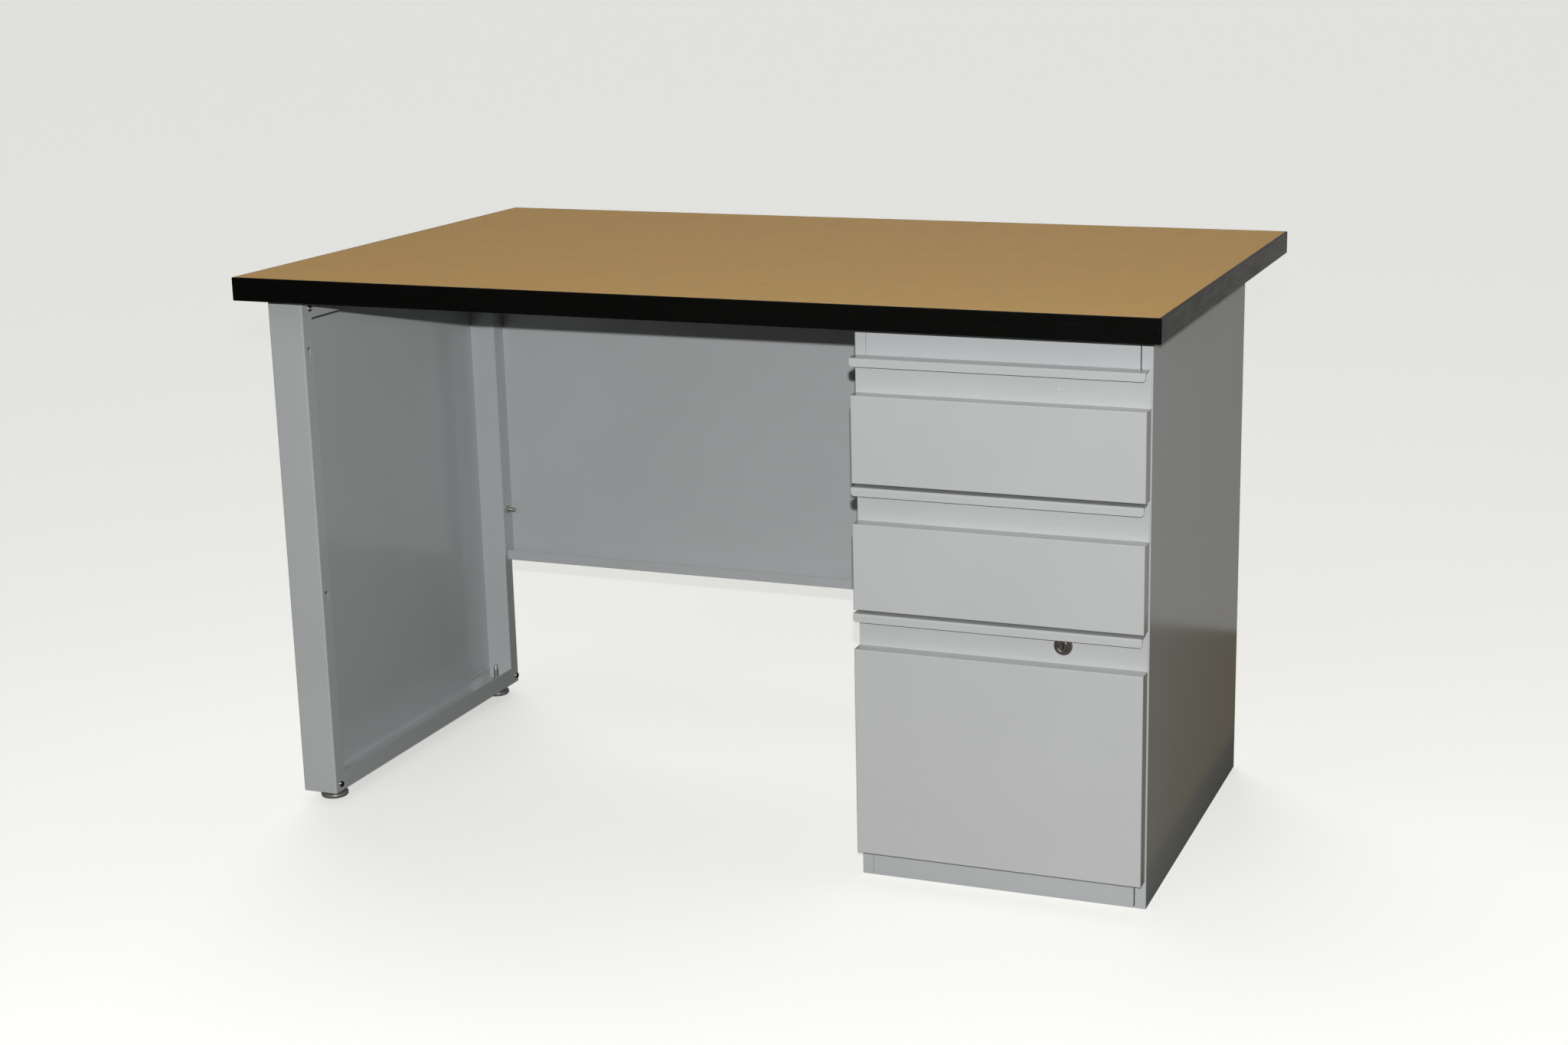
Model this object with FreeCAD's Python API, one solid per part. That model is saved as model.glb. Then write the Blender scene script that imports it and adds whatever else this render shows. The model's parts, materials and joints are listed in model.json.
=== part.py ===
import FreeCAD, Part
import math
import os

# Single-pedestal teacher desk: laminate worktop on a sheet-steel end panel (left), a modesty panel and a
# three-drawer pedestal (right).  Millimetres.  +Z up, the user sits on the -Y side, +X is the user's right.
# The origin is on the floor, under the middle of the worktop.

os.makedirs("parts", exist_ok=True)
V = FreeCAD.Vector

# ---- driving dimensions -------------------------------------------------------------------------------
DESK_WIDTH = 1219.2
DESK_DEPTH = 762.0
TOP_THICKNESS = 30.2
LAMINATE = 1.2
BACKER = 0.8
EDGE_BAND = 2.8

BASE_HEIGHT = 698.4       # floor to the underside of the worktop
SIDE_INSET = 19.6         # worktop's overhang past the end panel and past the pedestal
FRONT_SETBACK = 47.6      # worktop's overhang in front of the base
BASE_DEPTH = 520.0

PANEL_SHEET = 1.2         # end panel and modesty panel
CASE_SHEET = 1.0          # pedestal and drawers
BEND = 1.6                # outer radius of a visible bend

END_WIDTH = 51.0          # thickness of the end panel
END_CLEARANCE = 14.5      # floor to the end panel's bottom edge
END_FLANGE = 22.0
END_RAIL_BOTTOM = 25.0
END_RAIL_TOP = 30.0
CORNER_SCREW_RISE = 10.1   # corner screws from the end panel's bottom edge
CORNER_SCREW_DROP = 17.6
FRONT_SCREW_INSETS = (12.8, 18.3)   # bottom and top corner screws from the front face
REAR_SCREW_INSETS = (6.9, 6.9)
SLOT_INSET = 10.5
SLOT_WIDTH = 6.8
SLOT_LENGTH = 14.5
BOLT_HEIGHTS = (292.5, 624.0)

GLIDE_OFFSET = 28.5       # glide axis from the end panel's outer face
GLIDE_INSET = 30.0        # glide axis from the end panel's front and rear faces
GLIDE_RADIUS = 18.5
STEM_RADIUS = 3.97
GLIDE_HEX = 12.7

MODESTY_BOTTOM = 215.0
MODESTY_FLANGE = 23.0     # bottom channel
MODESTY_SIDE_FLANGE = 26.6
MODESTY_PROUD = 6.1       # how far the modesty panel stands behind the base
MODESTY_LIP = 14.5

PEDESTAL_WIDTH = 363.0
POST_WIDTH = 13.8
POST_RETURN = 12.0
LEFT_SEAM = 0.3           # gaps between the posts and the panels between them
RIGHT_SEAM = 1.4
BASE_PANEL = 42.0
TOP_PANEL_BOTTOM = 655.0

FRONT_GAP = 1.4           # side gap and stand-off of a drawer front
FRONT_PROUD = 20.4        # depth of the finger recess
TOP_LIP_HEIGHT = 661.2    # floor to the top drawer's pull lip
FRONT_PITCH = 157.5
BOX_FRONT = 153.0
FILE_FRONT = 310.0
RECESS_HEIGHT = 45.2
LIP_HEIGHT = 10.6
LIP_CORNER = 4.2
LIP_BEND = 2.6
LIP_LEFT_END = -0.6       # how far the lip stops short of the front's left and right edges
LIP_RIGHT_END = 2.1

SLIDE_SPACE = 14.0
SLIDE_LENGTH = 457.0
TRAY_RISE = 9.6           # drawer front's bottom edge to the tray's underside
BOX_TRAY = 110.0
FILE_TRAY = 250.0

LOCK_OFFSET = 78.0        # right of the pedestal's middle
LOCK_DROP = 22.5          # below the pull lip's top
LOCK_RADIUS = 9.5
PLUG_RADIUS = 5.4
RUNNING = 0.05            # radial clearance of a running fit

# ---- planes worked out from them ----------------------------------------------------------------------
RIGHT = DESK_WIDTH / 2
FRONT = -DESK_DEPTH / 2
TOP = BASE_HEIGHT + TOP_THICKNESS
END_X0 = -RIGHT + SIDE_INSET
END_X1 = END_X0 + END_WIDTH
BASE_Y0 = FRONT + FRONT_SETBACK
BASE_Y1 = BASE_Y0 + BASE_DEPTH
PED_X1 = RIGHT - SIDE_INSET
PED_X0 = PED_X1 - PEDESTAL_WIDTH
PED_MID = (PED_X0 + PED_X1) / 2
POST_EDGE = PED_X0 + POST_WIDTH
RECESS_Y = BASE_Y0 - FRONT_GAP - CASE_SHEET
FACE_Y = RECESS_Y - FRONT_PROUD
TRAY_X0 = POST_EDGE + SLIDE_SPACE
TRAY_X1 = 2 * PED_MID - TRAY_X0
TRAY_Y0 = BASE_Y0 - FRONT_GAP + CASE_SHEET
TRAY_Y1 = BASE_Y0 + 460.0
LOCK_X = PED_MID + LOCK_OFFSET
GLIDE_X = END_X0 + GLIDE_OFFSET
MODESTY_Y0 = BASE_Y1 + MODESTY_PROUD - PANEL_SHEET - MODESTY_FLANGE
MODESTY_SIDE_Y0 = BASE_Y1 + MODESTY_PROUD - PANEL_SHEET - MODESTY_SIDE_FLANGE
BOLT_Y = BASE_Y1 - SLOT_INSET


# ---- small tools --------------------------------------------------------------------------------------
def block(x0, x1, y0, y1, z0, z1):
    """Box between two opposite corners, given in either order."""
    low = V(min(x0, x1), min(y0, y1), min(z0, z1))
    return Part.makeBox(abs(x1 - x0), abs(y1 - y0), abs(z1 - z0), low)


def rod(radius, start, end):
    """Round bar from start to end."""
    way = V(*end) - V(*start)
    return Part.makeCylinder(radius, way.Length, V(*start), way)


def hexagon(across, start, end):
    """Hexagonal bar, across its flats, from start to end."""
    way = V(*end) - V(*start)
    corners = []
    for i in range(7):
        turn = math.radians(60 * i)
        corners.append(V(math.cos(turn), math.sin(turn), 0) * (across / math.sqrt(3)))
    bar = Part.Face(Part.makePolygon(corners)).extrude(V(0, 0, way.Length))
    bar.Placement = FreeCAD.Placement(V(*start), FreeCAD.Rotation(V(0, 0, 1), way))
    return bar


def joined(pieces):
    """One solid from touching or overlapping pieces."""
    return pieces[0].fuse(pieces[1:]).removeSplitter()


def rounded(shape, radius, chosen):
    """Round the edges whose middle point and bounding box the test accepts."""
    return shape.makeFillet(radius, [e for e in shape.Edges if chosen(e.CenterOfMass, e.BoundBox)])


def mirrored(shape, x=PED_MID):
    """The same piece on the other side of the plane at x."""
    return shape.mirror(V(x, 0, 0), V(1, 0, 0))


def near(a, b):
    return abs(a - b) < 0.01


def upright(box):
    return box.XLength < 0.01 and box.YLength < 0.01


def save(name, *solids):
    shape = solids[0] if len(solids) == 1 else Part.makeCompound(list(solids))
    shape.exportStep("parts/%s.step" % name)


def pan_head(radius, height, at, way):
    """Pan screw head with a cross recess: its flat side at the point, its dome towards the way given."""
    head = rod(radius, (0, 0, 0), (0, 0, height))
    head = rounded(head, height * 0.6, lambda c, b: near(c.z, height))
    for turn in (0, 90):
        arm = block(-radius * 0.6, radius * 0.6, -0.45, 0.45, height * 0.45, height + 1)
        arm.rotate(V(0, 0, 0), V(0, 0, 1), turn)
        head = head.cut(arm)
    head.Placement = FreeCAD.Placement(V(*at), FreeCAD.Rotation(V(0, 0, 1), V(*way)))
    return head


def screw(head_radius, head_height, shank_radius, length, at, way):
    """Pan-head screw seated at a point; its head stands towards way, its shank runs the other way."""
    start, out = V(*at), V(*way)
    shank = rod(shank_radius, tuple(start - out * length), tuple(start + out * 0.2))
    return joined([pan_head(head_radius, head_height, at, way), shank])


# ---- worktop ------------------------------------------------------------------------------------------
WOOD_SCREW_RADIUS = 2.1
WOOD_SCREW_LENGTH = 17.0
SCREW_SEAT = BASE_HEIGHT - PANEL_SHEET
worktop_screw_points = [(GLIDE_X, BASE_Y0 + 60), (GLIDE_X, BASE_Y1 - 60)]
for screw_x in (PED_X0 + 11, PED_X1 - 11):
    worktop_screw_points += [(screw_x, BASE_Y0 + 90), (screw_x, BASE_Y1 - 90)]


def slab(z0, z1):
    """A layer of the worktop inside its edge band."""
    x, y = RIGHT - EDGE_BAND, -FRONT - EDGE_BAND
    return block(-x, x, -y, y, z0, z1)


def pilot_holes(layer):
    end = BASE_HEIGHT + WOOD_SCREW_LENGTH
    for x, y in worktop_screw_points:
        layer = layer.cut(rod(WOOD_SCREW_RADIUS, (x, y, BASE_HEIGHT - 1), (x, y, end)))
    return layer


def worktop():
    save("worktop_laminate", slab(TOP - LAMINATE, TOP))
    save("worktop_core", pilot_holes(slab(BASE_HEIGHT + BACKER, TOP - LAMINATE)))
    save("worktop_backer", pilot_holes(slab(BASE_HEIGHT, BASE_HEIGHT + BACKER)))
    band = block(-RIGHT, RIGHT, FRONT, -FRONT, BASE_HEIGHT, TOP)
    band = rounded(band, 2.2, lambda c, b: upright(b))
    band = rounded(band, 1.1, lambda c, b: b.ZLength < 0.01)
    save("worktop_edge_band", band.cut(slab(BASE_HEIGHT - 1, TOP + 1)))
    screws = []
    for x, y in worktop_screw_points:
        seat = (x, y, SCREW_SEAT)
        screws.append(screw(4.4, 2.6, WOOD_SCREW_RADIUS, WOOD_SCREW_LENGTH, seat, (0, 0, -1)))
    save("worktop_screws", *screws)


# ---- left end panel -----------------------------------------------------------------------------------
def end_slots():
    """Tools that cut the bolt slots through the front and rear flanges."""
    tools = []
    reach = (SLOT_LENGTH - SLOT_WIDTH) / 2
    for y in (BASE_Y0 + SLOT_INSET, BASE_Y1 - SLOT_INSET):
        for z in BOLT_HEIGHTS:
            r = SLOT_WIDTH / 2
            tools.append(block(END_X1 - 4, END_X1 + 4, y - r, y + r, z - reach, z + reach))
            for end in (z - reach, z + reach):
                tools.append(rod(r, (END_X1 - 4, y, end), (END_X1 + 4, y, end)))
    return tools


def corner_points():
    heights = (END_CLEARANCE + CORNER_SCREW_RISE, BASE_HEIGHT - CORNER_SCREW_DROP)
    front = [(BASE_Y0 + inset, z) for inset, z in zip(FRONT_SCREW_INSETS, heights)]
    return front + [(BASE_Y1 - inset, z) for inset, z in zip(REAR_SCREW_INSETS, heights)]


def corner_holes(shape):
    for y, z in corner_points():
        shape = shape.cut(rod(2.1, (END_X1 - 6, y, z), (END_X1 + 1, y, z)))
    return shape


def end_shell():
    """Outer skin, front and rear walls and their inward flanges, bent from one sheet."""
    t = PANEL_SHEET
    outer = block(END_X0, END_X1, BASE_Y0, BASE_Y1, END_CLEARANCE, BASE_HEIGHT)
    outer = rounded(outer, BEND + 0.6, lambda c, b: upright(b))
    inner = block(END_X0 + t, END_X1 - t, BASE_Y0 + t, BASE_Y1 - t, END_CLEARANCE - 1, BASE_HEIGHT + 1)
    inner = rounded(inner, BEND - 0.6, lambda c, b: upright(b))
    mouth = block(END_X1 - 2 * t, END_X1 + 1, BASE_Y0 + END_FLANGE, BASE_Y1 - END_FLANGE,
                  0, BASE_HEIGHT + 1)
    return corner_holes(outer.cut([inner, mouth] + end_slots()))


def end_rail(web, up, flange):
    """Channel between the walls: web at a height, flanges standing up (up = 1) or hanging down (-1)."""
    t = PANEL_SHEET
    y0, y1 = BASE_Y0 + 2 * t, BASE_Y1 - 2 * t
    seam = 0.15           # between the rail's flange and the shell's flanges
    pieces = [block(END_X0 + t, END_X1 - t, y0, y1, web, web + up * t)]
    pieces.append(block(END_X0 + t, END_X0 + 2 * t, y0, y1, web, web + up * 18))
    pieces.append(block(END_X1 - t, END_X1, BASE_Y0 + END_FLANGE + seam, BASE_Y1 - END_FLANGE - seam,
                        web, web + up * flange))
    tab = END_FLANGE + 6
    for ya, yb in ((y0, BASE_Y0 + tab), (BASE_Y1 - tab, y1)):
        pieces.append(block(END_X1 - 2 * t, END_X1 - t, ya, yb, web, web + up * (flange - 4)))
    return corner_holes(joined(pieces))


def glide(y):
    """Levelling glide: chamfered disc foot, hexagonal collar and threaded stem with a dog point."""
    collar_top = END_CLEARANCE - 2.5
    r = GLIDE_RADIUS
    outline = [(0, 0), (r - 3, 0), (r, 2.6), (r, 5.4), (r - 1.2, 6.6), (9, 7.2), (9, 7.8), (STEM_RADIUS, 7.8),
               (STEM_RADIUS, 40.2), (2.8, 41.2), (2.8, 45.4), (2.2, 46), (0, 46), (0, 0)]
    face = Part.Face(Part.makePolygon([V(GLIDE_X + a, y, z) for a, z in outline]))
    body = face.revolve(V(GLIDE_X, y, 0), V(0, 0, 1), 360)
    return joined([body, hexagon(GLIDE_HEX, (GLIDE_X, y, 6), (GLIDE_X, y, collar_top))])


def end_panel():
    save("end_panel_shell", end_shell())
    bottom = end_rail(END_CLEARANCE, 1, END_RAIL_BOTTOM)
    top = end_rail(BASE_HEIGHT, -1, END_RAIL_TOP)
    nuts = []
    for y, name in ((BASE_Y0 + GLIDE_INSET, "front_glide"), (BASE_Y1 - GLIDE_INSET, "rear_glide")):
        bore = rod(STEM_RADIUS + RUNNING, (GLIDE_X, y, 0), (GLIDE_X, y, 60))
        bottom = bottom.cut(rod(STEM_RADIUS + 0.6, (GLIDE_X, y, 0), (GLIDE_X, y, 60)))
        seat = END_CLEARANCE + PANEL_SHEET
        nuts.append(hexagon(GLIDE_HEX, (GLIDE_X, y, seat), (GLIDE_X, y, seat + 8)).cut(bore))
        save(name, glide(y))
    for x, y in worktop_screw_points[:2]:
        top = top.cut(rod(WOOD_SCREW_RADIUS, (x, y, BASE_HEIGHT - 5), (x, y, BASE_HEIGHT + 5)))
    save("end_panel_bottom_rail", bottom)
    save("end_panel_top_rail", top)
    save("glide_nuts", *nuts)
    save("end_panel_corner_screws",
         *[screw(4.3, 2.8, 2.1, 5.5, (END_X1, y, z), (1, 0, 0)) for y, z in corner_points()])


# ---- modesty panel ------------------------------------------------------------------------------------
BOLT_RADIUS = 3.0
NUT_ACROSS = 10.0
NUT_HEIGHT = 5.2


def modesty_panel():
    """Panel with forward side flanges and top flange, and a bottom channel with an upturned lip."""
    t = PANEL_SHEET
    back = BASE_Y1 + MODESTY_PROUD
    top = BASE_HEIGHT - 0.5
    relief = 2.7
    xa, xb = END_X1 + relief, PED_X0 - relief
    pieces = [block(END_X1, PED_X0, back - t, back, MODESTY_BOTTOM, top)]
    for x, inward in ((END_X1, t), (PED_X0, -t)):
        pieces.append(block(x, x + inward, MODESTY_SIDE_Y0, back, MODESTY_BOTTOM + MODESTY_LIP / 2, top))
    pieces.append(block(xa, xb, MODESTY_Y0, back, MODESTY_BOTTOM, MODESTY_BOTTOM + t))
    pieces.append(block(xa, xb, MODESTY_Y0, MODESTY_Y0 + t, MODESTY_BOTTOM, MODESTY_BOTTOM + MODESTY_LIP))
    pieces.append(block(xa, xb, back - 15, back, top - t, top))
    panel = joined(pieces)
    panel = rounded(panel, 1.0, lambda c, b: b.XLength > 600 and near(c.z, MODESTY_BOTTOM))
    for z in BOLT_HEIGHTS:
        panel = panel.cut(rod(BOLT_RADIUS + 0.2, (END_X1 - 5, BOLT_Y, z), (END_X1 + 5, BOLT_Y, z)))
        panel = panel.cut(rod(BOLT_RADIUS + 0.2, (PED_X0 - 5, BOLT_Y, z), (PED_X0 + 5, BOLT_Y, z)))
    screw_y, screw_z = corner_points()[-1]
    panel = panel.cut(rod(5.5, (END_X1 - 5, screw_y, screw_z), (END_X1 + 5, screw_y, screw_z)))
    save("modesty_panel", panel)
    bolts, nuts = [], []
    for z in BOLT_HEIGHTS:
        for wall, way, sheet in ((END_X1, 1, PANEL_SHEET), (PED_X0, -1, CASE_SHEET)):
            under_head = wall - way * sheet
            seat = wall + way * t
            nut_end = seat + way * NUT_HEIGHT
            head = hexagon(NUT_ACROSS, (under_head, BOLT_Y, z), (under_head - way * 4, BOLT_Y, z))
            shank = rod(BOLT_RADIUS, (under_head, BOLT_Y, z), (nut_end + way * 9.2, BOLT_Y, z))
            bolts.append(joined([head, shank]))
            nut = hexagon(NUT_ACROSS, (seat, BOLT_Y, z), (nut_end, BOLT_Y, z))
            nuts.append(nut.cut(rod(BOLT_RADIUS, (seat - way, BOLT_Y, z), (nut_end + way, BOLT_Y, z))))
    save("modesty_bolts", *bolts)
    save("modesty_nuts", *nuts)


# ---- pedestal case ------------------------------------------------------------------------------------
def rivet_points():
    return [(PED_X0 + 8, z) for z in (60, 250, 440, 630)]


def pedestal_side():
    """Left side: skin, front post with its inward return, rear return and top flange."""
    t = CASE_SHEET
    pieces = [block(PED_X0, PED_X0 + t, BASE_Y0, BASE_Y1, 0, BASE_HEIGHT)]
    pieces.append(block(PED_X0, POST_EDGE, BASE_Y0, BASE_Y0 + t, 0, BASE_HEIGHT))
    pieces.append(block(POST_EDGE - t, POST_EDGE, BASE_Y0, BASE_Y0 + POST_RETURN, 0, BASE_HEIGHT))
    pieces.append(block(PED_X0, PED_X0 + 15, BASE_Y1 - t, BASE_Y1, 0, BASE_HEIGHT))
    pieces.append(block(PED_X0, PED_X0 + 20, BASE_Y0 + 30, BASE_Y1 - 30, BASE_HEIGHT - t, BASE_HEIGHT))
    side = joined(pieces)
    side = rounded(side, BEND, lambda c, b: upright(b) and near(c.x, PED_X0) and b.ZLength > 600)
    side = rounded(side, BEND / 2, lambda c, b: upright(b) and near(c.x, POST_EDGE) and near(c.y, BASE_Y0))
    for x, z in rivet_points():
        side = side.cut(rod(1.6, (x, BASE_Y1 - 5, z), (x, BASE_Y1 + 5, z)))
    for x, y in worktop_screw_points[2:4]:
        side = side.cut(rod(WOOD_SCREW_RADIUS, (x, y, BASE_HEIGHT - 5), (x, y, BASE_HEIGHT + 5)))
    return side


def cross_panel(z0, z1, top_flange, bottom_flange):
    """Front panel between the posts, with flanges turned back along its top and bottom."""
    t = CASE_SHEET
    xa, xb = POST_EDGE + LEFT_SEAM, 2 * PED_MID - POST_EDGE - RIGHT_SEAM
    pieces = [block(xa, xb, BASE_Y0, BASE_Y0 + t, z0, z1)]
    pieces.append(block(xa, xb, BASE_Y0, BASE_Y0 + top_flange, z1 - t, z1))
    pieces.append(block(xa, xb, BASE_Y0, BASE_Y0 + bottom_flange, z0, z0 + t))
    for x, inward in ((xa, t), (xb, -t)):
        pieces.append(block(x, x + inward, BASE_Y0, BASE_Y0 + 10, z0, z1))
    panel = joined(pieces)
    return rounded(panel, 0.7, lambda c, b: near(c.y, BASE_Y0) and (upright(b) or b.XLength > 300))


def pedestal_back():
    t = CASE_SHEET
    back = block(PED_X0 + 1.6, PED_X1 - 1.6, BASE_Y1 - 2 * t, BASE_Y1 - t, 2, BASE_HEIGHT - 2)
    for x, z in rivet_points():
        hole = rod(1.6, (x, BASE_Y1 - 5, z), (x, BASE_Y1 + 5, z))
        back = back.cut([hole, mirrored(hole)])
    return back


def pedestal_case():
    t = CASE_SHEET
    side = pedestal_side()
    bolt_holes = [rod(BOLT_RADIUS, (PED_X0 - 5, BOLT_Y, z), (PED_X0 + 5, BOLT_Y, z)) for z in BOLT_HEIGHTS]
    save("pedestal_left_side", side.cut(bolt_holes))
    save("pedestal_right_side", mirrored(side))
    save("pedestal_back", pedestal_back())
    save("pedestal_top_panel", cross_panel(TOP_PANEL_BOTTOM, BASE_HEIGHT - 0.2, 25, 14))
    save("pedestal_base_panel", cross_panel(0, BASE_PANEL, 20, POST_RETURN))
    inside = (PED_X0 + 1.6, PED_X1 - 1.6)
    rear = BASE_Y1 - 2 * t
    save("pedestal_rear_rail", joined([
        block(*inside, rear - 24, rear, BASE_HEIGHT - 2 * t, BASE_HEIGHT - t),
        block(*inside, rear - 24, rear - 24 + t, BASE_HEIGHT - 26, BASE_HEIGHT - t)]))
    pan_y = (BASE_Y0 + POST_RETURN + 0.5, rear - 0.2)
    pan = [block(*inside, *pan_y, 0, t)]
    for x, inward in ((inside[0], t), (inside[1], -t)):
        pan.append(block(x, x + inward, *pan_y, 0, 14))
    save("pedestal_bottom_pan", joined(pan))
    uprights = []
    for y in (BASE_Y0 + 16, BASE_Y0 + 424):
        web = block(POST_EDGE - t, POST_EDGE, y, y + 25, 16, 690)
        legs = [block(PED_X0 + t, POST_EDGE, a, a + t, 16, 690) for a in (y, y + 25 - t)]
        bar = joined([web] + legs)
        uprights += [bar, mirrored(bar)]
    save("slide_uprights", *uprights)
    rivets = []
    head_top = BASE_Y1 + 1.3
    for x, z in rivet_points():
        head = rounded(rod(3.2, (x, BASE_Y1, z), (x, head_top, z)), 1.0, lambda c, b: near(c.y, head_top))
        rivet = joined([head, rod(1.6, (x, BASE_Y1 - 3.5, z), (x, BASE_Y1 + 0.5, z))])
        rivets += [rivet, mirrored(rivet)]
    save("pedestal_rivets", *rivets)
    bumpers = []
    for z0, _ in drawer_levels():
        pad = rod(4.5, (PED_X0 + 7, BASE_Y0 - 1.2, z0 + 18), (PED_X0 + 7, BASE_Y0, z0 + 18))
        bumpers += [pad, mirrored(pad)]
    save("drawer_bumpers", *bumpers)


# ---- drawers ------------------------------------------------------------------------------------------
DRAWERS = ("upper", "lower", "file")


def drawer_levels():
    """Bottom edge and height of each drawer front, from the top drawer down."""
    levels = []
    for i, height in enumerate((BOX_FRONT, BOX_FRONT, FILE_FRONT)):
        levels.append((TOP_LIP_HEIGHT - i * FRONT_PITCH - height, height))
    return levels


def knock_out(z):
    """Scored outline of the lock's knock-out: a U open towards the lip."""
    depth = 0.8

    def tongue(r):
        y = RECESS_Y + depth
        return joined([rod(r, (LOCK_X, RECESS_Y - 1, z), (LOCK_X, y, z)),
                       block(LOCK_X - r, LOCK_X + r, RECESS_Y - 1, y, z, z + 14)])
    return tongue(9.1).cut(tongue(8.0))


def drawer_front(z0, height, lock):
    """Pull lip, ledge, finger recess and proud pan face, bent from one sheet."""
    t = CASE_SHEET
    xa, xb = PED_X0 + FRONT_GAP, PED_X1 - FRONT_GAP
    back = RECESS_Y + t
    top = z0 + height
    pan_top = top - RECESS_HEIGHT
    pan = block(xa, xb, FACE_Y, back, z0, pan_top)
    pan = rounded(pan, BEND, lambda c, b: near(c.y, FACE_Y))
    pan = pan.cut(block(xa + t, xb - t, FACE_Y + t, back - t, z0 + t, pan_top - t))
    pan = pan.cut(block(xa + 40, xb - 40, back - 2 * t, back + 1, z0 + 20, pan_top - 12))
    ends = (xa + LIP_LEFT_END, xb - LIP_RIGHT_END)
    lip = joined([block(*ends, FACE_Y, back, top - t, top),
                  block(*ends, FACE_Y, FACE_Y + t, top - LIP_HEIGHT, top),
                  block(*ends, FACE_Y, FACE_Y + 2 * t, top - LIP_HEIGHT, top - 3),
                  block(*ends, FACE_Y, FACE_Y + LIP_BEND + 0.6, top - LIP_BEND - 0.6, top)])
    lip = rounded(lip, LIP_BEND, lambda c, b: near(c.y, FACE_Y) and near(c.z, top))
    corner = LIP_CORNER
    for x, way in zip(ends, (1, -1)):
        square = block(x - way, x + way * corner, FACE_Y - 1, FACE_Y + 5, top - LIP_HEIGHT - 1,
                       top - LIP_HEIGHT + corner)
        centre = (x + way * corner, top - LIP_HEIGHT + corner)
        disc = rod(corner, (centre[0], FACE_Y - 2, centre[1]), (centre[0], FACE_Y + 6, centre[1]))
        lip = lip.cut(square.cut(disc))
    web = block(xa, xb, RECESS_Y, back, pan_top - t, top)
    front = joined([pan, lip, web])
    lock_z = top - LOCK_DROP
    if lock:
        return front.cut(rod(LOCK_RADIUS, (LOCK_X, RECESS_Y - 5, lock_z), (LOCK_X, RECESS_Y + 5, lock_z)))
    return front.cut(knock_out(lock_z))


def front_screw_points(z0, tray):
    low, high = z0 + TRAY_RISE + 14, z0 + TRAY_RISE + min(tray, BOX_TRAY) - 28
    return [(TRAY_X0 + 8, low), (TRAY_X0 + 8, high), (TRAY_X1 - 8, low), (TRAY_X1 - 8, high)]


def drawer_box(name, z0, tray):
    """Inner front, tray of bottom and sides, and back."""
    t = CASE_SHEET
    low = z0 + TRAY_RISE
    high = low + tray
    sheet = block(TRAY_X0, TRAY_X1, TRAY_Y0 - t, TRAY_Y0, low, high)
    for x, z in front_screw_points(z0, tray):
        sheet = sheet.cut(rod(2.0, (x, TRAY_Y0 - 5, z), (x, TRAY_Y0 + 5, z)))
    save(name + "_drawer_inner_front", sheet)
    pieces = [block(TRAY_X0, TRAY_X1, TRAY_Y0, TRAY_Y1, low, low + t)]
    for x, inward in ((TRAY_X0, 1), (TRAY_X1, -1)):
        pieces.append(block(x, x + inward * t, TRAY_Y0, TRAY_Y1, low, high))
        pieces.append(block(x, x + inward * 6, TRAY_Y0, TRAY_Y1, high - t, high))
    sides = joined(pieces)
    save(name + "_drawer_tray", rounded(sides, 0.8, lambda c, b: b.YLength > 400 and near(c.z, high)))
    save(name + "_drawer_back",
         block(TRAY_X0 + t, TRAY_X1 - t, TRAY_Y1 - t, TRAY_Y1, low + t, high - t))


def channel(s0, s1, half, web_at, y0, y1, z, lips=0.0):
    """Slide member: a channel lying along Y, s measured from the post's edge towards the drawer."""
    t = 1.2
    x0, x1 = POST_EDGE + s0, POST_EDGE + s1
    web = POST_EDGE + web_at
    pieces = [block(web, web + t, y0, y1, z - half, z + half)]
    for way in (1, -1):
        edge = z + way * half
        pieces.append(block(x0, x1, y0, y1, edge - way * t, edge))
        if lips:
            pieces.append(block(x1 - t, x1, y0, y1, edge - way * lips, edge))
    return joined(pieces)


def drawer_slides(name, z):
    """Outer members on the case, middle members, inner members on the drawer: one of each per side."""
    start = BASE_Y0 + 3
    outer = channel(0, 9, 22.5, 0, start, start + SLIDE_LENGTH, z, lips=3.2)
    middle = channel(3, 10.5, 17, 3, start + 1, start + SLIDE_LENGTH - 6, z)
    inner = channel(7, SLIDE_SPACE, 12, SLIDE_SPACE - 1.2, start, start + SLIDE_LENGTH - 8, z)
    save(name + "_slide_outer_members", outer, mirrored(outer))
    save(name + "_slide_middle_members", middle, mirrored(middle))
    save(name + "_slide_inner_members", inner, mirrored(inner))


def hanging_rails(high):
    rail = block(TRAY_X0 + 1, TRAY_X0 + 3, TRAY_Y0 + 12, TRAY_Y1 - 12, high, high + 10)
    rail = rounded(rail, 0.8, lambda c, b: b.YLength > 400 and near(c.z, high + 10))
    save("hanging_folder_rails", rail, mirrored(rail))


def drawers():
    for name, (z0, height) in zip(DRAWERS, drawer_levels()):
        is_file = name == "file"
        tray = FILE_TRAY if is_file else BOX_TRAY
        front = drawer_front(z0, height, is_file)
        screws = []
        for x, z in front_screw_points(z0, tray):
            screws.append(screw(4.0, 2.4, 2.0, 7.0, (x, TRAY_Y0, z), (0, 1, 0)))
            front = front.cut(rod(2.0, (x, RECESS_Y - 5, z), (x, TRAY_Y0, z)))
        save(name + "_drawer_front", front)
        save(name + "_drawer_front_screws", *screws)
        drawer_box(name, z0, tray)
        drawer_slides(name, z0 + TRAY_RISE + tray * 0.45)
        if is_file:
            hanging_rails(z0 + TRAY_RISE + tray)


# ---- lock on the file drawer --------------------------------------------------------------------------
CAM_REACH = 24.0
CAM_SHEET = 2.0
DISH_RADIUS = 8.2          # coned recess round the plug
DISH_DEPTH = 1.3


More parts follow.
